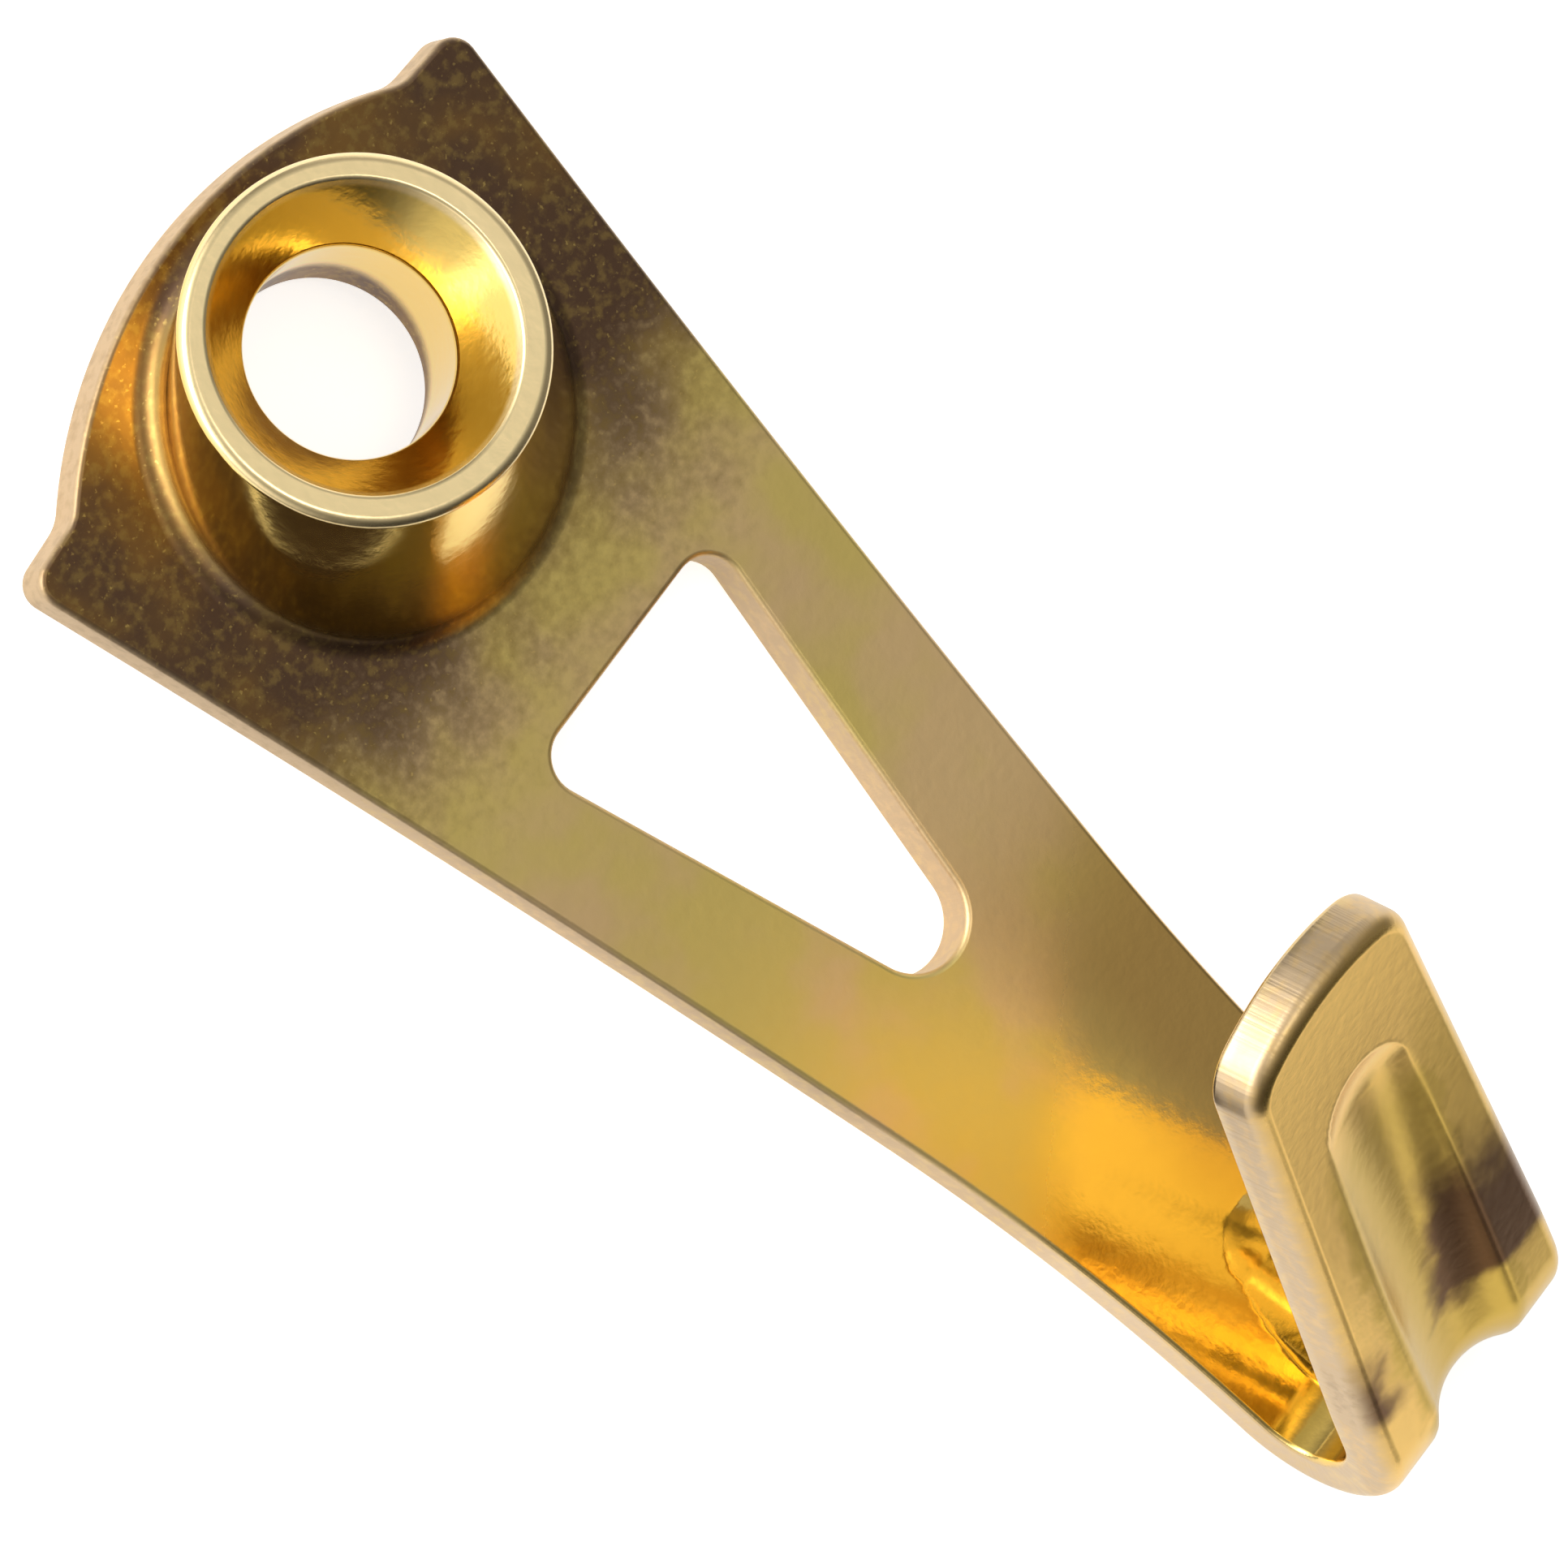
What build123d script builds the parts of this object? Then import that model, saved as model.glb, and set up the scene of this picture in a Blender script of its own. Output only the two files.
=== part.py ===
from build123d import *

import os
from math import asin, cos, hypot, radians, sin, sqrt

# Picture hook, stamped and folded from one sheet of brass-plated steel.
#
# The hook lies on its back: the wall side is the plane Z = 0, +Z is the front,
# +Y runs up to the wide nail end, and X = 0 is its plane of symmetry.
# Lengths are millimetres and angles are degrees. A "station" is a distance
# from the crown of the nail end, measured down the hook towards the fold.

# ---------------------------------------------------------------- dimensions
SHEET = 0.9
ROLL_OVER = 0.3
EDGE_BREAK = 0.1

# Plate
OVERALL_LENGTH = 26.0
SHOULDER_HALF_WIDTH = 5.5
SHOULDER_STATION = 1.45
SHOULDER_ROUND = 0.4
CROWN_RADIUS = 7.3
CROWN_HALF_WIDTH = 4.25
CROWN_NOTCH_ROUND = 0.7
SHANK_HALF_WIDTH = 2.25
NECK_RADIUS = 42.0
NECK_ANGLE = 8.8
SHANK_STRAIGHT = 0.6

# Triangular cut-out
WINDOW_STATION = 9.2
WINDOW_HALF_WIDTH = 2.28
WINDOW_LENGTH = 6.83
WINDOW_TIP_RADIUS = 0.85
WINDOW_CORNER_RADIUS = 0.55

# Nail boss, square to an axis that leans back towards the nail end
BOSS_STATION = 3.3
BOSS_LEAN = 13.0
RIM_HEIGHT = 3.5
RIM_RADIUS = 2.82
RIM_ROUND = 0.18
SKIRT_STATION = 4.3
SKIRT_HALF_LENGTH = 3.25
SKIRT_HALF_WIDTH = 3.5
SKIRT_ROUND = 0.38
FUNNEL_RADIUS = 2.4
FUNNEL_DEPTH = 0.95
FUNNEL_ROUND = 0.1
BORE_RADIUS = 1.6
BORE_THROAT_ROUND = 0.2
DISH_RADIUS = 2.3
DISH_DEPTH = 0.6

# Fold and tongue
FOLD_INNER_RADIUS = 0.93
TONGUE_ANGLE = 44.0
TONGUE_LENGTH = 10.25
TONGUE_TIP_HALF_WIDTH = 1.96
TONGUE_CROWN_RADIUS = 3.9
TONGUE_CORNER_ROUND = 0.9
TONGUE_STRAIGHT = 0.8
TONGUE_BLEND_RADIUS = 20.0

# Stiffening dart, a groove pressed inwards across the fold with a rib behind it
DART_RADIUS = 1.5
DART_DEPTH = 0.42
DART_LENGTH = 7.0
DART_TIP_RADIUS = 2.6
DART_TIP_DEPTH = 0.2
DART_TAIL = 1.6
DART_LIP_ROUND = 0.3
RIB_HEIGHT = 0.3
RIB_TIP_HEIGHT = 0.1

# ------------------------------------------------------------ derived places
OVERSHOOT = 1.0
LEAN_SIN = sin(radians(BOSS_LEAN))
LEAN_COS = cos(radians(BOSS_LEAN))


def station_y(station: float) -> float:
    """Y of a station while the hook is built, with its crown on Y = 0."""
    return -station


fold_outer_radius = FOLD_INNER_RADIUS + SHEET
fold_station = OVERALL_LENGTH - fold_outer_radius
fold_turn = 180 - TONGUE_ANGLE
dart_half_width = sqrt(DART_DEPTH * (2 * DART_RADIUS - DART_DEPTH))
dart_tip_half_width = sqrt(DART_TIP_DEPTH * (2 * DART_TIP_RADIUS - DART_TIP_DEPTH))
fold_axis = Axis((0, station_y(fold_station), fold_outer_radius), (-1, 0, 0))
boss_plane = Plane(
    origin=(0, station_y(BOSS_STATION), 0),
    x_dir=(1, 0, 0),
    z_dir=(0, LEAN_SIN, LEAN_COS),
)


# ------------------------------------------------------------------- outlines
def plate_outline() -> Face:
    """Flared plate: a bulged nail end between two shoulders, then a tapering shank."""
    neck_run = NECK_RADIUS * sin(radians(NECK_ANGLE))
    neck_gain = NECK_RADIUS * (1 - cos(radians(NECK_ANGLE)))
    shank_y = station_y(fold_station - SHANK_STRAIGHT)
    neck_point = (SHANK_HALF_WIDTH + neck_gain, shank_y + neck_run)
    shoulder = (SHOULDER_HALF_WIDTH, station_y(SHOULDER_STATION))
    sagitta = CROWN_RADIUS - sqrt(CROWN_RADIUS**2 - CROWN_HALF_WIDTH**2)
    notch = (CROWN_HALF_WIDTH, station_y(sagitta))
    with BuildSketch() as sketch:
        with BuildLine():
            Line((0, station_y(fold_station)), (SHANK_HALF_WIDTH, station_y(fold_station)))
            Line((SHANK_HALF_WIDTH, station_y(fold_station)), (SHANK_HALF_WIDTH, shank_y))
            neck = TangentArc((SHANK_HALF_WIDTH, shank_y), neck_point, tangent=(0, 1))
            TangentArc(neck_point, shoulder, tangent=neck % 1)
            Line(shoulder, notch)
            RadiusArc(notch, (0, station_y(0)), -CROWN_RADIUS)
            mirror(about=Plane.YZ)
        make_face()
        fillet(corners_near(sketch, shoulder), SHOULDER_ROUND)
        fillet(corners_near(sketch, notch), CROWN_NOTCH_ROUND)
    return sketch.sketch.faces()[0]


def corners_near(sketch: BuildSketch, point: tuple) -> list:
    """The two mirrored corners of a sketch that lie at (plus or minus x, y)."""
    return [
        corner
        for corner in sketch.vertices()
        if hypot(abs(corner.X) - point[0], corner.Y - point[1]) < SHEET / 100
    ]


def window_outline() -> Face:
    """Isosceles cut-out with rounded corners, its point towards the fold."""
    tip_centre = WINDOW_LENGTH - WINDOW_TIP_RADIUS
    reach = hypot(WINDOW_HALF_WIDTH, tip_centre)
    turn = asin(WINDOW_HALF_WIDTH / reach) - asin(WINDOW_TIP_RADIUS / reach)
    point_station = WINDOW_STATION + WINDOW_HALF_WIDTH * cos(turn) / sin(turn)
    base_y = station_y(WINDOW_STATION)
    base = (WINDOW_HALF_WIDTH, base_y)
    point = (0, station_y(point_station))
    with BuildSketch() as sketch:
        with BuildLine():
            Polyline((0, base_y), base, point)
            mirror(about=Plane.YZ)
        make_face()
        fillet(corners_near(sketch, base), WINDOW_CORNER_RADIUS)
        fillet(corners_near(sketch, point), WINDOW_TIP_RADIUS)
    return sketch.sketch.faces()[0]


def tongue_outline() -> Face:
    """Slightly tapering tongue, growing along +Y from the fold to a crowned end."""
    tip_drop = TONGUE_CROWN_RADIUS - sqrt(TONGUE_CROWN_RADIUS**2 - TONGUE_TIP_HALF_WIDTH**2)
    tip = (TONGUE_TIP_HALF_WIDTH, TONGUE_LENGTH - tip_drop)
    knee = (SHANK_HALF_WIDTH, TONGUE_STRAIGHT)
    with BuildSketch() as sketch:
        with BuildLine():
            Polyline((0, 0), (SHANK_HALF_WIDTH, 0), knee, tip)
            RadiusArc(tip, (0, TONGUE_LENGTH), -TONGUE_CROWN_RADIUS)
            mirror(about=Plane.YZ)
        make_face()
        fillet(corners_near(sketch, tip), TONGUE_CORNER_ROUND)
        fillet(corners_near(sketch, knee), TONGUE_BLEND_RADIUS)
    return sketch.sketch.faces()[0]


# ---------------------------------------------------------------------- blank
def tongue_plane() -> Plane:
    """Plane of the tongue's outer face at the end of the fold, +Y up the tongue."""
    lift = radians(TONGUE_ANGLE)
    return Plane(
        origin=(
            0,
            station_y(fold_station) - fold_outer_radius * sin(lift),
            fold_outer_radius * (1 + cos(lift)),
        ),
        x_dir=(-1, 0, 0),
        z_dir=(0, sin(lift), -cos(lift)),
    )


def folded_blank() -> Part:
    """Plate, fold and tongue as one sheet.

    Blanking rolls the outline over on the wall side; every other edge is only broken.
    """
    plate = extrude(plate_outline(), SHEET)
    fold_section = Plane.XZ.offset(-station_y(fold_station)) * Pos(0, SHEET / 2) * Rectangle(
        2 * SHANK_HALF_WIDTH, SHEET
    )
    fold = revolve(fold_section, fold_axis, fold_turn)
    tongue = extrude(tongue_plane() * tongue_outline(), SHEET)
    blank = plate + fold + tongue
    blank = fillet(outline_edges(blank, 0), ROLL_OVER)
    blank = chamfer(outline_edges(blank, SHEET), EDGE_BREAK)
    blank = blank - extrude(window_outline(), SHEET)
    return chamfer(window_edges(blank), EDGE_BREAK)


def depth_in_sheet(spot: Vector) -> float:
    """Depth below the outer face, which is the wall side: SHEET on the inner face."""
    lift = radians(TONGUE_ANGLE)
    y = spot.Y - station_y(fold_station)
    z = spot.Z - fold_outer_radius
    if z > 0 and y * cos(lift) + z * sin(lift) > 0:
        return fold_outer_radius - z * cos(lift) + y * sin(lift)
    return spot.Z if y > 0 else fold_outer_radius - hypot(y, z)


def outline_edges(blank: Part, depth: float) -> list:
    """Edges of the sheet's outline at one depth: not the ones across the fold."""
    found = []
    for edge in blank.edges():
        level = all(abs(depth_in_sheet(edge @ share) - depth) < SHEET / 1000 for share in (0.1, 0.5, 0.9))
        across_fold = edge.geom_type == GeomType.LINE and abs((edge % 0.5).X) > 0.99
        if level and not across_fold:
            found.append(edge)
    return found


def window_edges(blank: Part) -> list:
    """Edges of the cut-out on both faces of the plate."""
    found = []
    for edge in blank.edges():
        middle = edge @ 0.5
        along = -middle.Y - WINDOW_STATION
        inside = -SHEET / 1000 < along < WINDOW_LENGTH + SHEET / 1000 and abs(middle.X) < WINDOW_HALF_WIDTH
        if inside and edge.bounding_box().size.Z < SHEET / 1000:
            found.append(edge)
    return found


# ----------------------------------------------------------------------- boss
def boss_skirt() -> Part:
    """Drawn boss: an oval foot on the plate that flares up into the leaning round rim."""
    oval = scale(Circle(1), by=(SKIRT_HALF_WIDTH, SKIRT_HALF_LENGTH, 1))
    foot = Plane.XY.offset(SHEET / 2) * Pos(0, station_y(SKIRT_STATION)) * oval
    rim = boss_plane.offset(RIM_HEIGHT) * Circle(RIM_RADIUS)
    return loft([foot, rim])


def boss_passage() -> Part:
    """Funnel, bore and back dish, turned about the leaning axis."""
    throat = RIM_HEIGHT - FUNNEL_DEPTH
    flare = (FUNNEL_RADIUS - BORE_RADIUS) / FUNNEL_DEPTH
    spread = (DISH_RADIUS - BORE_RADIUS) / DISH_DEPTH
    with BuildPart() as passage:
        with BuildSketch(Plane(boss_plane.origin, x_dir=(1, 0, 0), z_dir=-boss_plane.y_dir)) as sketch:
            with BuildLine():
                Polyline(
                    (0, -OVERSHOOT),
                    (DISH_RADIUS + spread * OVERSHOOT, -OVERSHOOT),
                    (BORE_RADIUS, DISH_DEPTH),
                    (BORE_RADIUS, throat),
                    (FUNNEL_RADIUS + flare * OVERSHOOT, RIM_HEIGHT + OVERSHOOT),
                    (0, RIM_HEIGHT + OVERSHOOT),
                    close=True,
                )
            make_face()
            fillet(corners_near(sketch, (BORE_RADIUS, throat)), BORE_THROAT_ROUND)
        revolve(axis=Axis(boss_plane.origin, boss_plane.z_dir))
    return passage.part


def with_boss(blank: Part) -> Part:
    """Blank with its boss: the foot blends into the plate and the rim is rounded."""
    body = blank + boss_skirt()
    foot_edges = [
        edge
        for edge in body.edges()
        if edge.geom_type == GeomType.BSPLINE and edge.bounding_box().size.Z < SHEET / 100
    ]
    body = fillet(foot_edges, SKIRT_ROUND)
    rim_edges = [
        edge
        for edge in body.edges()
        if edge.geom_type == GeomType.CIRCLE and abs(edge.radius - RIM_RADIUS) < SHEET / 100
    ]
    body = fillet(rim_edges, RIM_ROUND) - boss_passage()
    funnel_edges = [
        edge
        for edge in body.edges()
        if edge.geom_type == GeomType.CIRCLE and abs(edge.radius - FUNNEL_RADIUS) < SHEET / 100
    ]
    return fillet(funnel_edges, FUNNEL_ROUND)


# ----------------------------------------------------------------------- dart
def dart_plane(turn: float, run: float) -> Plane:
    """Plane across the sheet, run past the point that lies turn degrees round the fold.

    Its origin is on the outer face and its +Y points out of the sheet.
    """
    angle = radians(turn)
    return Plane(
        origin=(
            0,
            station_y(fold_station) - fold_outer_radius * sin(angle) - run * cos(angle),
            fold_outer_radius * (1 - cos(angle)) + run * sin(angle),
        ),
        x_dir=(1, 0, 0),
        z_dir=(0, cos(angle), -sin(angle)),
    )


def groove_section(radius: float, depth: float) -> Sketch:
    """Round groove, sunk by depth into the outer face."""
    return Pos(0, radius - depth) * Circle(radius)


def rib_section(radius: float, depth: float, height: float) -> Sketch:
    """Rib on the inner face, concentric with the groove and rooted half-way into the sheet."""
    rib_radius = radius - depth + SHEET + height
    bulge = Pos(0, radius - depth) * Circle(rib_radius)
    return bulge & Pos(0, -SHEET / 2 - rib_radius) * Rectangle(2 * rib_radius, 2 * rib_radius)


def groove_end() -> Part:
    """Ball that rounds off the groove's end."""
    return Pos(0, DART_TIP_RADIUS - DART_TIP_DEPTH, 0) * Sphere(DART_TIP_RADIUS)


def rib_end() -> Part:
    """Cap that rounds off the rib's end, concentric with the groove's ball."""
    rib_radius = DART_TIP_RADIUS - DART_TIP_DEPTH + SHEET + RIB_TIP_HEIGHT
    ball = Pos(0, DART_TIP_RADIUS - DART_TIP_DEPTH, 0) * Sphere(rib_radius)
    return ball & Pos(0, -SHEET / 2 - rib_radius, 0) * Box(2 * rib_radius, 2 * rib_radius, 2 * rib_radius)


def dart_lips(body: Part) -> list:
    """Edges where the groove breaks out of the outer face of the plate, fold or tongue."""
    back_of_dart = station_y(fold_station - DART_TAIL - dart_tip_half_width)
    half_width = max(dart_half_width, dart_tip_half_width) + DART_LIP_ROUND / 2
    lips = []
    for edge in body.edges():
        spots = [edge @ share for share in (0.02, 0.5, 0.98)]
        on_face = all(abs(depth_in_sheet(spot)) < SHEET / 1000 for spot in spots)
        level = all(abs(spot.Z - spots[0].Z) < SHEET / 1000 for spot in spots)
        straight_across = level and edge.geom_type == GeomType.LINE
        past_tail = spots[1].Z > SHEET / 1000 or all(spot.Y < back_of_dart + SHEET / 100 for spot in spots)
        in_dart = past_tail and all(abs(spot.X) < half_width for spot in spots)
        if in_dart and on_face and not straight_across:
            lips.append(edge)
    return lips


def with_dart(body: Part) -> Part:
    """Body with the dart: it grows shallower up the tongue and, sooner, on the plate's back."""
    full = (DART_RADIUS, DART_DEPTH)
    faded = (DART_TIP_RADIUS, DART_TIP_DEPTH)
    full_groove, faded_groove = groove_section(*full), groove_section(*faded)
    full_rib, faded_rib = rib_section(*full, RIB_HEIGHT), rib_section(*faded, RIB_TIP_HEIGHT)
    lead_in, lead_out = dart_plane(0, 0), dart_plane(fold_turn, 0)
    tail, tip = dart_plane(0, -DART_TAIL), dart_plane(fold_turn, DART_LENGTH)
    body = body + revolve(lead_in * full_rib, fold_axis, fold_turn)
    body = body + loft([lead_out * full_rib, tip * faded_rib]) + tip * rib_end()
    body = body + loft([lead_in * full_rib, tail * faded_rib]) + tail * rib_end()
    body = body - revolve(lead_in * full_groove, fold_axis, fold_turn)
    body = body - loft([lead_out * full_groove, tip * faded_groove]) - tip * groove_end()
    body = body - loft([lead_in * full_groove, tail * faded_groove]) - tail * groove_end()
    return fillet(dart_lips(body), DART_LIP_ROUND)


hook = with_dart(with_boss(folded_blank()))
hook = Pos(0, -hook.bounding_box().center().Y, 0) * hook
hook.label = "picture_hook"
os.makedirs("parts", exist_ok=True)
export_step(hook, "parts/picture_hook.step")
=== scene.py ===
import logging
from dataclasses import dataclass, field
from enum import Enum
from typing import NamedTuple

import bpy
import numpy as np
from mathutils import Matrix, Vector
from mathutils.geometry import delaunay_2d_cdt


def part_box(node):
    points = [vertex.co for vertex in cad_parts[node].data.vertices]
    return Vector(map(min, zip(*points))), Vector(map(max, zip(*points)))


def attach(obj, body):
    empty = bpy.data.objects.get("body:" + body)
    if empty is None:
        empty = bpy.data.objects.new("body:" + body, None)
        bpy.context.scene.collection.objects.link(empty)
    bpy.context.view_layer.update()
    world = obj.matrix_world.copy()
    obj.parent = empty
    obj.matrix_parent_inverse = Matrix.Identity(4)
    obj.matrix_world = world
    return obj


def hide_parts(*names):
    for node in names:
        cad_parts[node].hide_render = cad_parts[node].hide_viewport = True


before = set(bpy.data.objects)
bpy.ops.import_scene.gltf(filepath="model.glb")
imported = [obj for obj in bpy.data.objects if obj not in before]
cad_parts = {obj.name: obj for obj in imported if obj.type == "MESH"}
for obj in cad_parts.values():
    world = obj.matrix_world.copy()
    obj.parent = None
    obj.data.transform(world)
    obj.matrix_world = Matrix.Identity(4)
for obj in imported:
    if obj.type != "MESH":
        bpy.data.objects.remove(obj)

MM = 0.001
NODE = "picture_hook"
LOG = logging.getLogger("picture_hook")

Socket = bpy.types.NodeSocket
Value = Socket | Enum | float | tuple
Ramp = tuple[tuple[float, float], tuple[float, float]]


# ---- plane curves ----
def unit(vectors: np.ndarray) -> np.ndarray:
    """Vectors divided by their lengths, along the last axis."""
    return vectors / np.linalg.norm(vectors, axis=-1, keepdims=True)


def arc(centre: tuple, radius: float, start: float, stop: float, step: float) -> np.ndarray:
    """Points centre + radius (cos a, sin a), a running evenly from start to stop in radians.

    Step is the largest distance between two points.
    """
    count = max(6, int(abs(stop - start) * radius / step) + 2)
    angle = np.linspace(start, stop, count)
    return np.array(centre) + radius * np.stack([np.cos(angle), np.sin(angle)], axis=1)


def short_arc(centre: np.ndarray, start: np.ndarray, stop: np.ndarray, step: float) -> np.ndarray:
    """The shorter arc about centre from start to the direction of stop."""
    first, last = (np.arctan2(*(point - centre)[::-1]) for point in (start, stop))
    turn = (last - first + np.pi) % (2.0 * np.pi) - np.pi
    return arc(centre, float(np.linalg.norm(start - centre)), first, first + turn, step)


def segment(start: tuple, stop: tuple, step: float) -> np.ndarray:
    """Evenly spaced points from start to stop, no further apart than step."""
    a, b = np.array(start, float), np.array(stop, float)
    count = max(2, int(np.linalg.norm(b - a) / step) + 2)
    return a + (b - a) * np.linspace(0.0, 1.0, count)[:, None]


def leaving_arc(start: np.ndarray, heading: np.ndarray, stop: np.ndarray, step: float) -> np.ndarray:
    """Circular arc that leaves start along heading and ends at stop.

    The centre lies on the normal at start, at chord squared over twice the chord's
    component along that normal.
    """
    chord = np.asarray(stop, float) - start
    normal = np.array([-heading[1], heading[0]])
    radius = chord @ chord / (2.0 * (normal @ chord))
    return short_arc(start + radius * normal, start, stop, step)


def round_corner(before: np.ndarray, after: np.ndarray, radius: float, step: float) -> np.ndarray:
    """Joins two polylines at their common end by an arc tangent to both.

    Both lines are shifted by radius to the inside of the corner; the arc's centre is
    where the shifted lines cross, and the arc runs between the two feet of that centre.

    Args:
        before: Polyline that ends at the corner.
        after: Polyline that starts there.
        radius: Radius of the arc.
        step: Largest distance between two points of the arc.

    Returns:
        The joined polyline.
    """
    run_a, run_b = np.diff(before, axis=0), np.diff(after, axis=0)
    side = np.sign(run_a[-1, 0] * run_b[0, 1] - run_a[-1, 1] * run_b[0, 0])
    normal_a = side * unit(np.stack([-run_a[:, 1], run_a[:, 0]], axis=1))
    normal_b = side * unit(np.stack([-run_b[:, 1], run_b[:, 0]], axis=1))
    start_a = before[:-1] + radius * normal_a
    start_b = after[:-1] + radius * normal_b
    gap = start_b[None] - start_a[:, None]
    cross = run_a[:, None, 0] * run_b[None, :, 1] - run_a[:, None, 1] * run_b[None, :, 0]
    cross = np.where(np.abs(cross) < 1e-12, 1e-12, cross)
    u = (gap[..., 0] * run_b[None, :, 1] - gap[..., 1] * run_b[None, :, 0]) / cross
    v = (gap[..., 0] * run_a[:, None, 1] - gap[..., 1] * run_a[:, None, 0]) / cross
    miss = np.maximum(np.abs(u - 0.5), np.abs(v - 0.5))
    i, j = np.unravel_index(np.argmin(miss), miss.shape)
    foot_a = before[i] + u[i, j] * run_a[i]
    foot_b = after[j] + v[i, j] * run_b[j]
    bend = short_arc(foot_a + radius * normal_a[i], foot_a, foot_b, step)
    return np.concatenate([before[: i + 1], bend, after[j + 1 :]])


def even(points: np.ndarray, step: float) -> np.ndarray:
    """The same polyline with points an even distance, about step, apart."""
    run = np.linalg.norm(np.diff(points, axis=0), axis=1)
    keep = np.concatenate([[True], run > 1e-9])
    points = points[keep]
    length = np.concatenate([[0.0], np.cumsum(np.linalg.norm(np.diff(points, axis=0), axis=1))])
    place = np.linspace(0.0, length[-1], int(length[-1] / step) + 2)
    return np.stack([np.interp(place, length, points[:, k]) for k in range(2)], axis=1)


def mirrored_loop(half: np.ndarray) -> np.ndarray:
    """Closed loop from the half with x >= 0: the half, then its mirror image back."""
    back = half[::-1][1:-1] * np.array([-1.0, 1.0])
    return np.concatenate([half, back])


def loop_normals(loop: np.ndarray, outward: bool) -> np.ndarray:
    """Unit normals of a closed loop from central differences of its points.

    Args:
        loop: Points of the loop.
        outward: True to point away from the enclosed area, False to point into it.

    Returns:
        Array of the loop's shape.
    """
    tangent = unit(np.roll(loop, -1, axis=0) - np.roll(loop, 1, axis=0))
    nxt = np.roll(loop, -1, axis=0)
    area = np.sum(loop[:, 0] * nxt[:, 1] - nxt[:, 0] * loop[:, 1])
    sign = np.sign(area) * (1.0 if outward else -1.0)
    return sign * np.stack([tangent[:, 1], -tangent[:, 0]], axis=1)


def inside(points: np.ndarray, loop: np.ndarray) -> np.ndarray:
    """Even-odd test: a point is inside if a ray from it crosses the loop an odd number of times."""
    a, b = loop, np.roll(loop, -1, axis=0)
    x, y = points[:, :1], points[:, 1:]
    straddles = (a[None, :, 1] > y) != (b[None, :, 1] > y)
    rise = np.where(b[:, 1] == a[:, 1], 1e-12, b[:, 1] - a[:, 1])
    at = a[None, :, 0] + (y - a[None, :, 1]) * (b[:, 0] - a[:, 0])[None] / rise[None]
    return np.sum(straddles & (x < at), axis=1) % 2 == 1


# ---- surfaces ----
class Surface(NamedTuple):
    """A piece of skin: points in millimetres, their unit normals and faces of four corners.

    A triangle repeats its third corner. Sheared is 0 on the strip's faces and 1 on its cut
    edge; run is the distance along that edge.
    """

    points: np.ndarray
    normals: np.ndarray
    faces: np.ndarray
    sheared: np.ndarray
    run: np.ndarray


def grid_faces(rows: int, columns: int) -> np.ndarray:
    """Four-cornered faces of a grid of closed rows, with its points numbered row by row."""
    row = np.arange(rows - 1)[:, None] * columns
    here = np.arange(columns)[None]
    there = (here + 1) % columns
    above = row + columns
    return np.stack([row + here, row + there, above + there, above + here], axis=-1).reshape(-1, 4)


def between(points: np.ndarray, outer: np.ndarray, holes: list[np.ndarray]) -> np.ndarray:
    """True for points inside the outer loop and outside every hole."""
    good = inside(points, outer)
    for hole in holes:
        good &= ~inside(points, hole)
    return good


def triangulated(outer: np.ndarray, holes: list[np.ndarray], extra: np.ndarray) -> tuple:
    """Constrained Delaunay triangles between an outer loop and its holes.

    Args:
        outer: Outer loop.
        holes: Loops left open.
        extra: Further points; those outside the area are dropped.

    Returns:
        Points of shape (n, 2) and triangles of shape (m, 3).
    """
    loops = [outer, *holes]
    points = np.concatenate([*loops, extra[between(extra, outer, holes)]])
    edges, first = [], 0
    for loop in loops:
        number = np.arange(len(loop)) + first
        edges.append(np.stack([number, np.roll(number, -1)], axis=1))
        first += len(loop)
    made = delaunay_2d_cdt(
        [Vector(p) for p in points.tolist()], np.concatenate(edges).tolist(), [], 0, 1e-7, True
    )
    origin = np.array([source[0] for source in made[3]])
    triangles = origin[np.array(made[2])]
    return points, triangles[between(points[triangles].mean(axis=1), outer, holes)]


def joined(surfaces: list[Surface]) -> Surface:
    """One surface with shared border points merged and every face turned to its normals.

    Points that agree to a tenth of a micrometre are one point. A face whose corner order
    runs against the mean of its points' normals is reversed.
    """
    starts = np.cumsum([0] + [len(s.points) for s in surfaces[:-1]])
    points, normals, faces, sheared, run = (
        np.concatenate(parts)
        for parts in zip(*(s._replace(faces=s.faces + start) for s, start in zip(surfaces, starts)))
    )
    key = np.round((points + 3.7e-5) * 1e4).astype(np.int64)
    _, first, number = np.unique(key, axis=0, return_index=True, return_inverse=True)
    points, normals, faces = points[first], normals[first], number.reshape(-1)[faces]
    corner = points[faces]
    facing = np.cross(corner[:, 2] - corner[:, 0], corner[:, 3] - corner[:, 1])
    flat = np.linalg.norm(facing, axis=1) < 1e-12
    triangle = np.cross(corner[:, 1] - corner[:, 0], corner[:, 2] - corner[:, 0])
    facing = np.where(flat[:, None], triangle, facing)
    wrong = np.sum(facing * normals[faces].mean(axis=1), axis=1) < 0.0
    faces[wrong] = faces[wrong][:, ::-1]
    return Surface(points, normals, faces, sheared[first], run[first])


def mesh_object(name: str, points: np.ndarray, faces: list[list[int]]) -> bpy.types.Object:
    """Mesh object linked to the scene, from points in millimetres."""
    mesh = bpy.data.meshes.new(name)
    mesh.from_pydata((points * MM).tolist(), [], faces)
    made = bpy.data.objects.new(name, mesh)
    bpy.context.scene.collection.objects.link(made)
    return made


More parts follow.
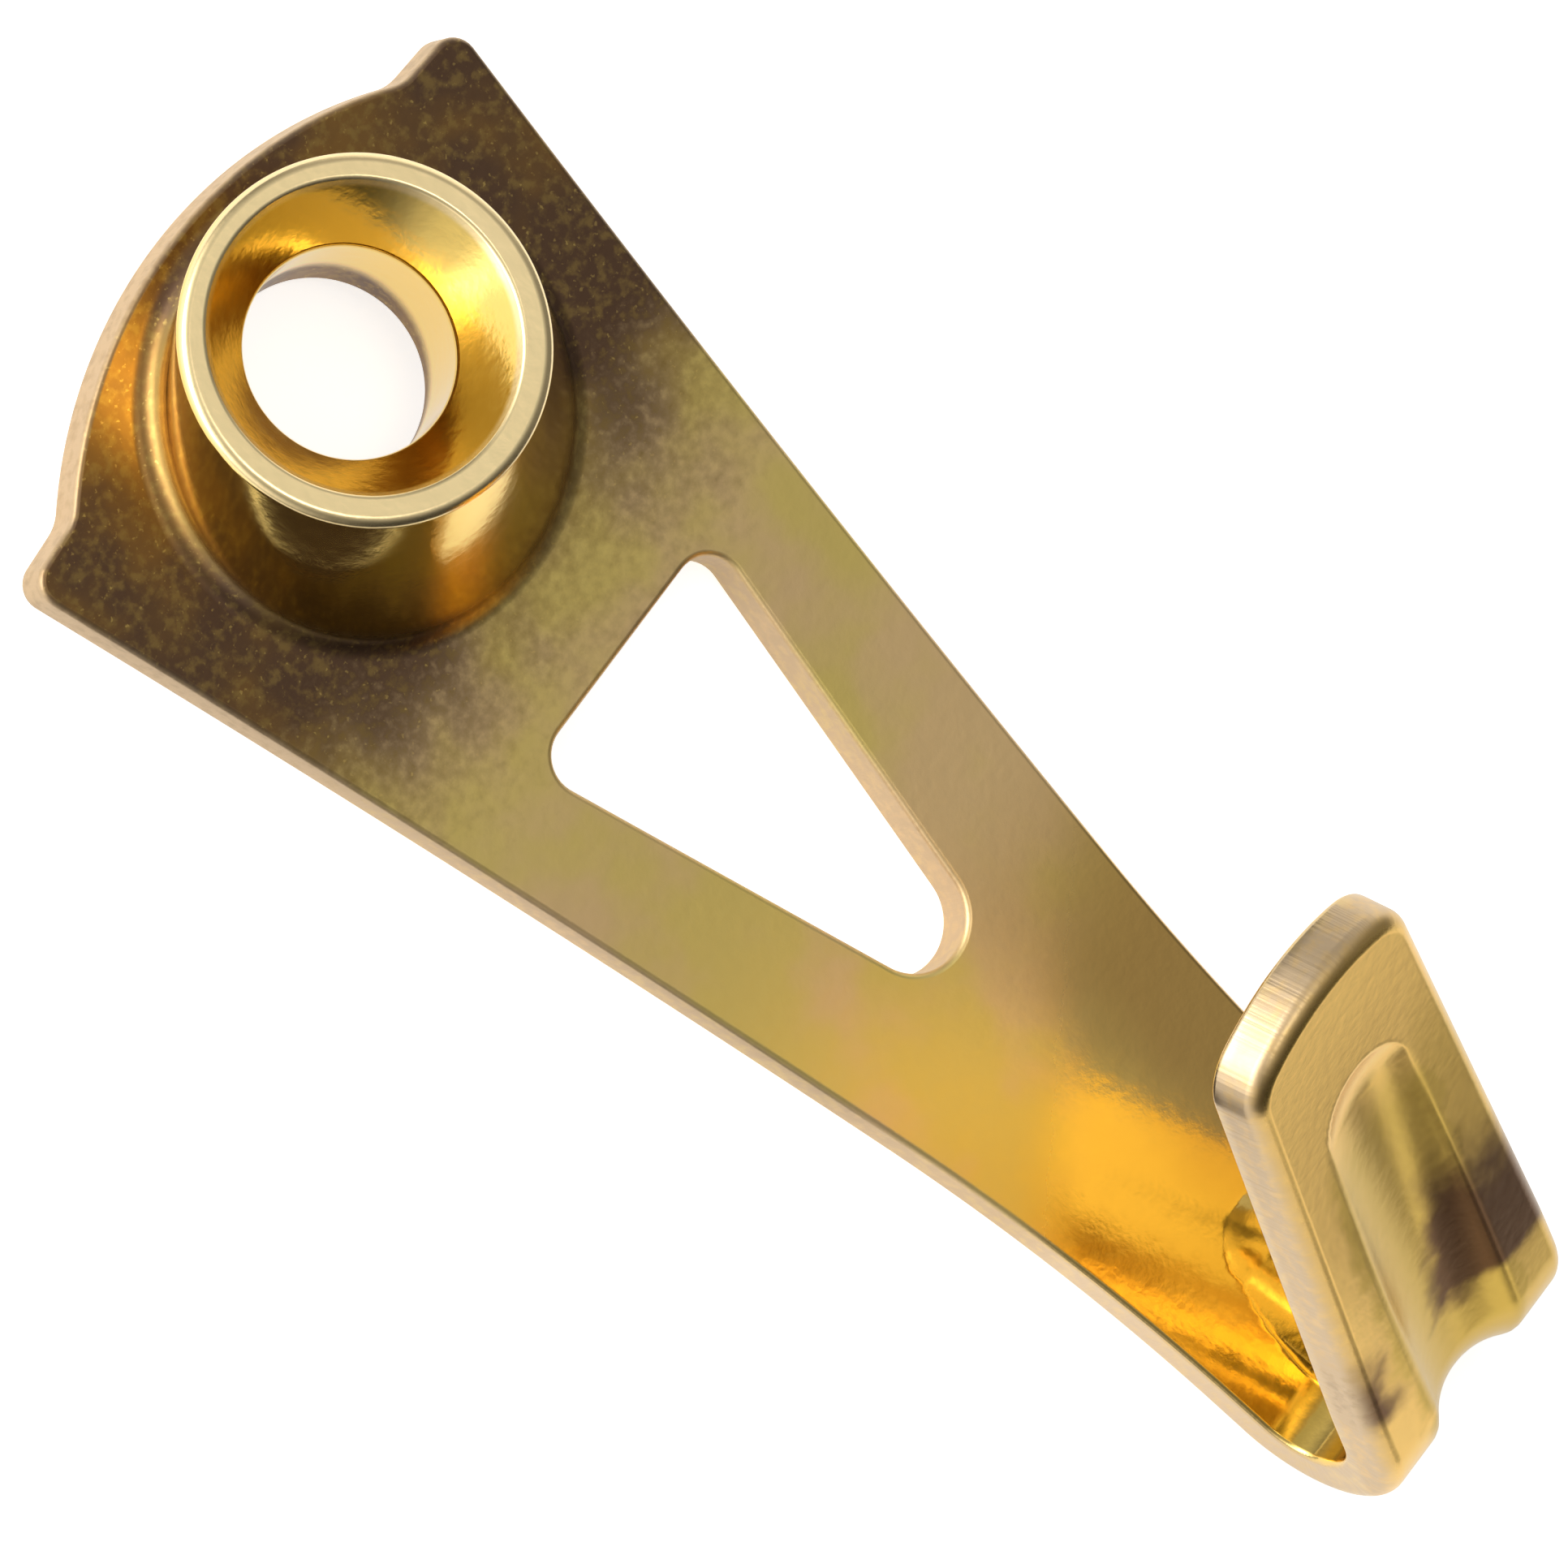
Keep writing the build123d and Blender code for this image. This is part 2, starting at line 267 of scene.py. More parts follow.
def skin_object(name: str, skin: Surface) -> bpy.types.Object:
    """Smooth-shaded mesh object with the surface's own normals and its two attributes."""
    rows = [list(dict.fromkeys(face)) for face in skin.faces.tolist()]
    made = mesh_object(name, skin.points, [row for row in rows if len(row) > 2])
    mesh = made.data
    mesh.update()
    mesh.polygons.foreach_set("use_smooth", np.ones(len(mesh.polygons), bool))
    mesh.normals_split_custom_set_from_vertices(skin.normals.tolist())
    for title, values in (("sheared", skin.sheared), ("run", skin.run)):
        mesh.attributes.new(title, "FLOAT", "POINT").data.foreach_set("value", values)
    return made


# ---- the strip ----
@dataclass(frozen=True)
class Dart:
    """Groove pressed inwards across the fold, with a rib behind it. Sizes in millimetres."""

    radius: float = 1.5
    depth: float = 0.42
    length: float = 7.0
    tip_radius: float = 2.6
    tip_depth: float = 0.2
    tail: float = 1.6
    lip_round: float = 0.3
    rib_height: float = 0.3
    rib_tip_height: float = 0.1

    def fade(self, before: np.ndarray, beyond: np.ndarray) -> np.ndarray:
        """0 across the fold, rising evenly to 1 at the tail's end and at the tip."""
        return np.clip(np.maximum(before / self.tail, beyond / self.length), 0.0, 1.0)

    def reach(self, x: np.ndarray, before: np.ndarray, beyond: np.ndarray) -> np.ndarray:
        """Distance from the dart's centre line, which ends at the tail's end and at the tip."""
        past = np.maximum(np.maximum(before - self.tail, beyond - self.length), 0.0)
        return np.hypot(x, past)

    @staticmethod
    def crease(reach: np.ndarray, radius: np.ndarray, depth: np.ndarray, lip: float) -> np.ndarray:
        """Depth of a round crease with rolled lips.

        The bottom is a circle of the given radius sunk by depth. A lip circle is tangent to
        it and to the flat; their centres are sqrt((radius + lip)^2 - (radius - depth + lip)^2)
        apart across the crease.
        """
        span = np.sqrt((radius + lip) ** 2 - (radius - depth + lip) ** 2)
        bottom_edge = span * radius / (radius + lip)
        bottom = depth - radius + np.sqrt(np.maximum(radius**2 - reach**2, 0.0))
        rise = lip - np.sqrt(np.maximum(lip**2 - (span - reach) ** 2, 0.0))
        return np.where(reach < bottom_edge, bottom, np.where(reach < span, rise, 0.0))

    def groove(self, x: np.ndarray, before: np.ndarray, beyond: np.ndarray) -> np.ndarray:
        """Depth of the groove below the outer face.

        Args:
            x: Distance across the strip from its middle.
            before: Distance back from the fold's start, on the plate.
            beyond: Distance past the fold's end, on the tongue.

        Returns:
            Depth in millimetres.
        """
        fade = self.fade(before, beyond)
        radius = self.radius + (self.tip_radius - self.radius) * fade
        depth = self.depth + (self.tip_depth - self.depth) * fade
        return self.crease(self.reach(x, before, beyond), radius, depth, self.lip_round)

    def rib(self, x: np.ndarray, before: np.ndarray, beyond: np.ndarray, sheet: float) -> np.ndarray:
        """Height of the rib above the inner face, concentric with the groove."""
        fade = self.fade(before, beyond)
        hub = self.radius - self.depth
        hub = hub + (self.tip_radius - self.tip_depth - hub) * fade
        height = self.rib_height + (self.rib_tip_height - self.rib_height) * fade
        return self.crease(self.reach(x, before, beyond), hub + sheet + height, height, self.lip_round)


@dataclass(frozen=True)
class Boss:
    """Drawn nail boss, square to an axis that leans to the nail end. Sizes in millimetres."""

    station: float = 3.3
    lean: float = 13.0
    rim_height: float = 3.5
    rim_radius: float = 2.82
    rim_round: float = 0.18
    skirt_station: float = 4.3
    skirt_half_length: float = 3.25
    skirt_half_width: float = 3.5
    skirt_round: float = 0.38
    funnel_radius: float = 2.4
    funnel_depth: float = 0.95
    funnel_round: float = 0.1
    bore_radius: float = 1.6
    throat_round: float = 0.2
    dish_radius: float = 2.3
    dish_depth: float = 0.6
    spokes: int = 288
    foot_rows: int = 11
    wall_rows: int = 13
    rim_rows: int = 7
    funnel_edge_rows: int = 5
    funnel_rows: int = 9
    throat_rows: int = 6
    bore_rows: int = 8
    dish_rows: int = 5

    def skin(self, top: float, sheet: float) -> tuple[Surface, np.ndarray, np.ndarray]:
        """Boss as rows of points round its axis, one row for each place along its section.

        The wall is ruled: it joins a point of the foot ellipse to the point of the rim circle
        with the same angle. The foot's and the rim's rounds are arcs between the wall's
        normal and the plate's or the rim's normal. Inside, each row is a circle about the
        leaning axis, down to the dish, which ends where its cone meets the wall side.

        Args:
            top: Y of the crown of the nail end.
            sheet: Thickness of the strip.

        Returns:
            The surface, the foot's loop on the front face and the dish's loop on the back.
        """
        angle = np.linspace(0.0, 2.0 * np.pi, self.spokes, endpoint=False)
        c, s = np.cos(angle)[:, None], np.sin(angle)[:, None]
        lean_s, lean_c = np.sin(np.radians(self.lean)), np.cos(np.radians(self.lean))
        across, along = np.array([1.0, 0.0, 0.0]), np.array([0.0, lean_c, -lean_s])
        axis, up = np.array([0.0, lean_s, lean_c]), np.array([0.0, 0.0, 1.0])
        origin = np.array([0.0, top - self.station, 0.0])
        out = c * across + s * along
        foot_y = top - self.skirt_station + self.skirt_half_length * s
        foot = np.concatenate([self.skirt_half_width * c, foot_y, np.full_like(c, sheet / 2)], axis=1)
        brim = origin + self.rim_height * axis + self.rim_radius * out
        rule = brim - foot
        share = (sheet / 2) / rule[:, 2:]
        base = foot + share * rule
        walls = []
        for curve in (base, brim):
            tangent = np.roll(curve, -1, axis=0) - np.roll(curve, 1, axis=0)
            normal = unit(np.cross(tangent, rule))
            walls.append(normal * np.sign(np.sum(normal * out, axis=1))[:, None])
        low_wall, high_wall = walls
        flat = unit(low_wall * np.array([1.0, 1.0, 0.0]))
        rows, normals = self.rounding(base, low_wall, flat, up, self.skirt_round, self.foot_rows)
        rim = self.rounding(brim, high_wall, out, axis, -self.rim_round, self.rim_rows)
        low, high = rows[-1], rim[0][-1]
        for t in np.linspace(0.0, 1.0, self.wall_rows)[1:-1]:
            rows.append(low + (high - low) * t)
            normals.append(unit(low_wall + (high_wall - low_wall) * t))
        rows += rim[0][::-1]
        normals += rim[1][::-1]

        for radius, depth, tilt in self.passage():
            rows.append(origin + depth * axis + radius * out)
            normals.append(unit(np.cos(tilt) * axis - np.sin(tilt) * out))
        spread = (self.dish_radius - self.bore_radius) / self.dish_depth
        slope = lean_s * s
        level = slope * (self.bore_radius + self.dish_depth * spread) / (lean_c + slope * spread)
        cone = unit(-spread * axis - out + 0.0 * level)
        for t in np.linspace(0.0, 1.0, self.dish_rows):
            depth = self.dish_depth + (level - self.dish_depth) * t
            radius = self.bore_radius + (self.dish_depth - depth) * spread
            rows.append(origin + depth * axis + radius * out)
            normals.append(cone)
        plain = np.zeros(len(rows) * self.spokes)
        faces = grid_faces(len(rows), self.spokes)
        skin = Surface(np.concatenate(rows), np.concatenate(normals), faces, plain, plain)
        return skin, rows[0], rows[-1]

    @staticmethod
    def rounding(
        edge: np.ndarray, wall: np.ndarray, level: np.ndarray, up: np.ndarray, radius: float, count: int
    ) -> tuple[list[np.ndarray], list[np.ndarray]]:
        """Rows and normals of the round that joins the wall to the face square to up.

        The normal turns evenly from up to the wall's, by spherical interpolation, about a hub
        that lies radius from both; the radius is negative at an outer edge. Edge is where
        wall and face would meet, and level points along the face.
        """
        shift = (radius * (1.0 - wall @ up) / np.sum(wall * level, axis=1))[:, None]
        hub = edge + shift * level + radius * up
        angle = np.arccos(np.clip(wall @ up, -1.0, 1.0))[:, None]
        normals = [
            (np.sin((1.0 - t) * angle) * up + np.sin(t * angle) * wall) / np.sin(angle)
            for t in np.linspace(0.0, 1.0, count)
        ]
        return [hub - radius * normal for normal in normals], normals

    def passage(self) -> list[tuple[float, float, float]]:
        """Section of funnel, throat and bore, from the rim down.

        Returns:
            Radius, height along the axis and tilt of the normal from the axis, inwards.
        """
        flare = np.arctan2(self.funnel_radius - self.bore_radius, self.funnel_depth)
        throat = self.rim_height - self.funnel_depth
        lean_in = np.pi / 2 - flare
        edge = self.funnel_round * np.tan(lean_in / 2)
        bend = self.throat_round * np.tan(flare / 2)
        section = []
        for tilt in np.linspace(0.0, lean_in, self.funnel_edge_rows):
            radius = self.funnel_radius + edge - self.funnel_round * np.sin(tilt)
            section.append((radius, self.rim_height - self.funnel_round * (1.0 - np.cos(tilt)), tilt))
        top, high, _ = section[-1]
        low, deep = self.bore_radius + bend * np.sin(flare), throat + bend * np.cos(flare)
        for t in np.linspace(0.0, 1.0, self.funnel_rows)[1:-1]:
            section.append((top + (low - top) * t, high + (deep - high) * t, lean_in))
        for tilt in np.linspace(lean_in, np.pi / 2, self.throat_rows):
            radius = self.bore_radius + self.throat_round * (1.0 - np.sin(tilt))
            section.append((radius, throat - bend + self.throat_round * np.cos(tilt), tilt))
        last = section[-1][1]
        for t in np.linspace(0.0, 1.0, self.bore_rows)[1:]:
            section.append((self.bore_radius, last + (self.dish_depth - last) * t, np.pi / 2))
        return section


@dataclass(frozen=True)
class Strip:
    """The stamped strip, laid out flat as (x, s) and then folded. Sizes in millimetres.

    s runs from the crown of the nail end down the plate, through the fold and up the tongue.
    The fold's outermost line lies at Y = low_end.
    """

    low_end: float
    sheet: float = 0.9
    roll_over: float = 0.3
    edge_break: float = 0.1
    length: float = 26.0
    shoulder_half_width: float = 5.5
    shoulder_station: float = 1.45
    shoulder_round: float = 0.4
    crown_radius: float = 7.3
    crown_half_width: float = 4.25
    notch_round: float = 0.7
    shank_half_width: float = 2.25
    neck_radius: float = 42.0
    neck_angle: float = 8.8
    shank_straight: float = 0.6
    window_station: float = 9.2
    window_half_width: float = 2.28
    window_length: float = 6.83
    window_tip_radius: float = 0.85
    window_corner_radius: float = 0.55
    fold_inner_radius: float = 0.93
    tongue_angle: float = 44.0
    tongue_length: float = 10.25
    tip_half_width: float = 1.96
    tip_crown_radius: float = 3.9
    tip_corner_round: float = 0.9
    tongue_straight: float = 0.8
    knee_round: float = 20.0
    step: float = 0.08
    fine_step: float = 0.08 / 3
    edge_rows: int = 6
    roll_rows: int = 10
    dart_margin: float = 1.4
    dart_step: float = 0.07
    dart_columns: int = 24
    clearance: float = 0.03
    dart: Dart = field(default_factory=Dart)
    boss: Boss = field(default_factory=Boss)

    @property
    def top(self) -> float:
        """Y of the crown of the nail end."""
        return self.low_end + self.length

    @property
    def outer_radius(self) -> float:
        """Outer radius of the fold."""
        return self.fold_inner_radius + self.sheet

    @property
    def fold_start(self) -> float:
        """Place along the strip where the fold starts."""
        return self.length - self.outer_radius

    @property
    def middle_radius(self) -> float:
        """Radius of the fold at half the sheet, which sets its length along the strip."""
        return self.outer_radius - self.sheet / 2

    @property
    def fold_end(self) -> float:
        """Place along the strip where the fold ends."""
        return self.fold_start + self.middle_radius * np.radians(180.0 - self.tongue_angle)

    def outline(self) -> np.ndarray:
        """Outer loop of the flat strip."""
        angle = np.radians(self.neck_angle)
        straight = self.fold_start - self.shank_straight
        bulge = np.arcsin(self.crown_half_width / self.crown_radius)
        crown = arc((0.0, self.crown_radius), self.crown_radius, -np.pi / 2, bulge - np.pi / 2, self.step)
        shoulder = np.array([self.shoulder_half_width, self.shoulder_station])
        flank = segment(crown[-1], shoulder, self.step)
        hub = (self.shank_half_width + self.neck_radius, straight)
        neck = arc(hub, self.neck_radius, np.pi, np.pi + angle, self.step)
        heading = np.array([np.sin(angle), -np.cos(angle)])
        side = leaving_arc(neck[-1], heading, shoulder, self.step)[::-1]
        knee = self.fold_end + self.tongue_straight
        drop = self.tip_crown_radius - np.sqrt(self.tip_crown_radius**2 - self.tip_half_width**2)
        end = self.fold_end + self.tongue_length
        corner = (self.tip_half_width, end - drop)
        shank = segment((self.shank_half_width, straight), (self.shank_half_width, knee), self.step)
        taper = segment((self.shank_half_width, knee), corner, self.step)
        swing = np.arcsin(self.tip_half_width / self.tip_crown_radius)
        hub = (0.0, end - self.tip_crown_radius)
        cap = arc(hub, self.tip_crown_radius, np.pi / 2 - swing, np.pi / 2, self.step)
        half = round_corner(crown, flank, self.notch_round, self.fine_step)
        half = round_corner(half, side, self.shoulder_round, self.fine_step)
        half = np.concatenate([half, neck[::-1][1:], shank[1:]])
        half = round_corner(half, taper, self.knee_round, self.step)
        half = round_corner(half, cap, self.tip_corner_round, self.fine_step)
        return mirrored_loop(even(half, self.step))

    def window(self) -> np.ndarray:
        """Loop of the triangular cut-out."""
        reach = np.hypot(self.window_half_width, self.window_length - self.window_tip_radius)
        turn = np.arcsin(self.window_half_width / reach) - np.arcsin(self.window_tip_radius / reach)
        base = (self.window_half_width, self.window_station)
        point = (0.0, self.window_station + self.window_half_width / np.tan(turn))
        start = segment((0.0, self.window_station), base, self.step)
        side = segment(base, point, self.step)
        half = round_corner(start, side, self.window_corner_radius, self.fine_step)
        mirror_side = side[::-1] * np.array([-1.0, 1.0])
        whole = round_corner(half, mirror_side, self.window_tip_radius, self.fine_step)
        half = whole[whole[:, 0] >= 0.0]
        half = half[: int(np.argmax(half[:, 1])) + 1]
        half[0, 0] = half[-1, 0] = 0.0
        return mirrored_loop(even(half, self.step))

    def folded(self, x: np.ndarray, s: np.ndarray, h: np.ndarray) -> tuple:
        """Places points of the flat strip on the folded one.

        Round the fold a point turns by (s - fold start) / middle radius about the fold's
        axis, at the outer radius less h; before and past the fold it goes on straight.

        Args:
            x: Distance across the strip.
            s: Distance along the strip.
            h: Height above the outer face, towards the inner one.

        Returns:
            Points, the direction of growing s and the direction of growing h.
        """
        turn = np.radians(180.0 - self.tongue_angle)
        angle = np.clip((s - self.fold_start) / self.middle_radius, 0.0, turn)
        run = s - self.fold_start - self.middle_radius * angle
        flat = np.zeros_like(angle)
        up = np.stack([flat, np.sin(angle), np.cos(angle)], axis=-1)
        on = np.stack([flat, -np.cos(angle), np.sin(angle)], axis=-1)
        hub = np.array([0.0, self.top - self.fold_start, self.outer_radius])
        points = hub - (self.outer_radius - h)[..., None] * up + run[..., None] * on
        points[..., 0] = x
        return points, on, up

    def edge_band(self, loop: np.ndarray, outward: bool, low_round: float) -> Surface:
        """Cut edge along a loop: wall-side round, straight wall, front round, carried along it.

        Args:
            loop: Loop on the flat strip.
            outward: True for the outer edge, False for the edge of a hole.
            low_round: Radius of the round on the wall side; the front one is the edge break.

        Returns:
            The band's surface.
        """
        high_round = self.edge_break
        low_rows = self.roll_rows if low_round > high_round else self.edge_rows
        low = np.linspace(-np.pi / 2, 0.0, low_rows)
        high = np.linspace(0.0, np.pi / 2, self.edge_rows)
        out = np.concatenate([low_round * (np.cos(low) - 1.0), high_round * (np.cos(high) - 1.0)])
        height = np.concatenate(
            [low_round * (1.0 + np.sin(low)), self.sheet - high_round * (1.0 - np.sin(high))]
        )
        tilt = np.concatenate([low, high])
        side = loop_normals(loop, outward)
        place = loop[None] + out[:, None, None] * side[None]
        level = np.broadcast_to(height[:, None], place.shape[:2])
        points, on, up = self.folded(place[..., 0], place[..., 1], level)
        across = np.array([1.0, 0.0, 0.0])
        outwards = side[None, :, :1] * across + side[None, :, 1:] * on
        normals = np.cos(tilt)[:, None, None] * outwards + np.sin(tilt)[:, None, None] * up
        gaps = np.linalg.norm(np.diff(loop, axis=0), axis=1)
        run = np.concatenate([[0.0], np.cumsum(gaps)])
        sheared = np.cos(tilt)[:, None] ** 2 + 0.0 * run[None]
        return Surface(
            points.reshape(-1, 3),
            normals.reshape(-1, 3),
            grid_faces(len(tilt), len(loop)),
            sheared.reshape(-1),
            np.tile(run, len(tilt)),
        )

    def face(self, inner: bool, holes: list[np.ndarray]) -> Surface:
        """Inner or outer face of the strip, with the dart pressed into it.

        The height over the flat strip is the rib's on the inner face and the groove's on the
        outer one. A normal is the cross product of the point's differences along x and s.

        Args:
            inner: True for the inner (front) face.
            holes: Loops left open.

        Returns:
            The face's surface.
        """
        loop = self.outline()
        border = loop - (self.edge_break if inner else self.roll_over) * loop_normals(loop, True)
        first = self.fold_start - self.dart.tail - self.dart_margin
        last = self.fold_end + self.dart.length + self.dart_margin
        columns = np.arange(1 - self.dart_columns, self.dart_columns)
        across = columns * (self.shank_half_width / self.dart_columns)
        along = np.arange(first, last, self.dart_step)
        extra = np.stack(np.meshgrid(across, along), axis=-1).reshape(-1, 2)
        side = border[(border[:, 0] > 0.0) & (border[:, 1] > self.window_station)]
        side = side[np.argsort(side[:, 1])]
        half_width = np.interp(extra[:, 1], side[:, 1], side[:, 0])
        clear = np.abs(extra[:, 0]) < half_width - self.clearance
        points, triangles = triangulated(border, holes, extra[clear])

        def place(x: np.ndarray, s: np.ndarray) -> np.ndarray:
            """Points of the folded face."""
            before, beyond = self.fold_start - s, s - self.fold_end
            if inner:
                height = self.sheet + self.dart.rib(x, before, beyond, self.sheet)
            else:
                height = self.dart.groove(x, before, beyond)
            return self.folded(x, s, height)[0]

        x, s, nudge = points[:, 0], points[:, 1], 1e-4
        slope_x = place(x + nudge, s) - place(x - nudge, s)
        slope_s = place(x, s + nudge) - place(x, s - nudge)
        normals = unit(np.cross(slope_x, slope_s))
        up = self.folded(x, s, 0.0 * x)[2]
        facing = 1.0 if inner else -1.0
        normals *= np.sign(np.sum(normals * up, axis=1) * facing)[:, None]
        faces = np.concatenate([triangles, triangles[:, 2:]], axis=1)
        return Surface(place(x, s), normals, faces, 0.0 * x, 0.0 * x)

    def skin(self) -> Surface:
        """The whole hook as one closed surface."""
        boss, foot, dish = self.boss.skin(self.top, self.sheet)
        outline, window = self.outline(), self.window()
        opening = window - self.edge_break * loop_normals(window, False)
        on_front, on_back = (
            loop[:, :2] * np.array([1.0, -1.0]) + np.array([0.0, self.top]) for loop in (foot, dish)
        )
        return joined(
            [
                self.edge_band(outline, True, self.roll_over),
                self.edge_band(window, False, self.edge_break),
                boss,
                self.face(True, [opening, on_front]),
                self.face(False, [opening, on_back]),
            ]
        )

    def build(self) -> bpy.types.Object:
        """Makes the skin, which stands for the CAD node and rides on the root body."""
        made = skin_object("hook_skin", self.skin())
        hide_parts(NODE)
        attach(made, "root")
        return made


# ---- finishes ----
class Tone(Enum):
    """Linear colours."""

    GOLD = (0.93, 0.65, 0.18, 1.0)
    DEEP = (0.95, 0.60, 0.16, 1.0)
    # Painted shade: amber near the fold, on the plate and on the tongue.
    AMBER = (0.64, 0.42, 0.07, 1.0)
    # Painted shade: the brown of the dark marks on the tongue's outer face.
    SHADOW_BROWN = (0.085, 0.025, 0.008, 1.0)
    OLIVE = (0.86, 0.66, 0.20, 1.0)
    STRAW = (0.90, 0.63, 0.30, 1.0)
    # Painted highlight: the paler tone of the boss's rim.
    PALE = (0.97, 0.76, 0.40, 1.0)
    BRONZE = (0.62, 0.37, 0.11, 1.0)
    PEACH = (0.62, 0.46, 0.28, 1.0)
    # Painted shade: this tone and the next two colour the nail end's dark patch.
    MOSS = (0.38, 0.25, 0.07, 1.0)
    UMBER = (0.25, 0.13, 0.04, 1.0)
    NAIL_SHADE = (0.12, 0.065, 0.04, 1.0)
    # Painted shade: dark sheets on the table that stand in for shade there.
    SHEET_SHADE = (0.05, 0.035, 0.03, 1.0)
    WHITE = (1.0, 1.0, 1.0, 1.0)


class Graph:
    """Small helper that adds and links shader nodes."""

    def __init__(self, owner: bpy.types.Material | bpy.types.World) -> None:
        """Empties the node tree of a material or a world."""
        owner.use_nodes = True
        self.tree = owner.node_tree
        self.tree.nodes.clear()

    def add(self, kind: str, inputs: dict, **settings: str) -> bpy.types.Node:
        """Adds a node.

        Args:
            kind: Node type.
            inputs: Socket name or number to a value, a tone or another node's output socket.
            settings: Attributes of the node.

        Returns:
            The node.
        """
        node = self.tree.nodes.new(kind)
        for name, value in settings.items():
            setattr(node, name, value)
        for name, value in inputs.items():
            if isinstance(value, bpy.types.NodeSocket):
                self.tree.links.new(value, node.inputs[name])
            else:
                node.inputs[name].default_value = value.value if isinstance(value, Tone) else value
        return node

    def noise(self, place: Socket, size: float, detail: float = 3.0) -> Socket:
        """Noise whose blobs are about size millimetres across, on a place in millimetres."""
        inputs = {"Vector": place, "Scale": 1.0 / size, "Detail": detail}
        return self.add("ShaderNodeTexNoise", inputs).outputs["Fac"]

    def span(self, value: Value, ramp: Ramp) -> Socket:
        """Maps value smoothly from the ramp's first place and share to its second, clamped."""
        (start, first), (stop, last) = ramp
        inputs = {"Value": value, "From Min": start, "From Max": stop, "To Min": first, "To Max": last}
        node = self.add("ShaderNodeMapRange", inputs, interpolation_type="SMOOTHSTEP")
        return node.outputs["Result"]

    def mix(self, factor: Value, first: Value, second: Value) -> Socket:
        """Colour a share factor of the way from first to second."""
        node = self.add("ShaderNodeMix", {0: factor, 6: first, 7: second}, data_type="RGBA")
        return node.outputs[2]

    def math(self, operation: str, first: Value, second: Value = 0.0) -> Socket:
        """Result of a math node."""
        return self.add("ShaderNodeMath", {0: first, 1: second}, operation=operation).outputs[0]

    def plus(self, first: Value, second: Value) -> Socket:
        """Sum of two values."""
        return self.math("ADD", first, second)

    def minus(self, first: Value, second: Value) -> Socket:
        """The first value less the second."""
        return self.math("SUBTRACT", first, second)

    def times(self, first: Value, second: Value) -> Socket:
        """Product of two values."""
        return self.math("MULTIPLY", first, second)

    def wander(self, noise: Socket, reach: float) -> Socket:
        """A noise about its middle, times reach."""
        return self.times(self.minus(noise, 0.5), reach)

    def level(self, along: Socket, height: Socket, lean: float) -> Socket:
        """Distance along an axis that leans from Z towards +Y: Y sin(lean) + Z cos(lean)."""
        turn = np.radians(lean)
        rise = self.times(height, float(np.cos(turn)))
        return self.plus(self.times(along, float(np.sin(turn))), rise)


@dataclass(frozen=True)
class NailEndShade:
    """Painted shade for the nail end's dark reflection: a frayed border along Y, mottles and gold specks.
    """

    border: Ramp = ((3.2, 0.0), (7.4, 0.97))
    fray: float = 3.4
    drift: float = 4.0
    mottle_size: float = 0.17
    mottle_detail: float = 5.0
    speck_size: float = 0.09
    speck_detail: float = 2.0
    gold_specks: Ramp = ((0.62, 0.0), (0.74, 0.6))
    darkest: Ramp = ((0.4, 0.0), (0.6, 1.0))
    mossy: Ramp = ((0.44, 0.0), (0.7, 0.5))

    def paint(self, graph: Graph, place: Socket, along: Socket, cloud: Socket) -> tuple[Socket, Socket]:
        """The painted shade's share and its colour. Place and along are in millimetres."""
        mottle = graph.noise(place, self.mottle_size, self.mottle_detail)
        speck = graph.noise(place, self.speck_size, self.speck_detail)
        shift = graph.plus(graph.wander(mottle, self.fray), graph.wander(cloud, self.drift))
        share = graph.span(graph.plus(along, shift), self.border)
        colour = graph.mix(graph.span(cloud, self.darkest), Tone.UMBER, Tone.NAIL_SHADE)
        colour = graph.mix(graph.span(mottle, self.mossy), colour, Tone.MOSS)
        gold_specks = graph.times(graph.span(speck, self.gold_specks), mottle)
        return share, graph.mix(gold_specks, colour, Tone.GOLD)


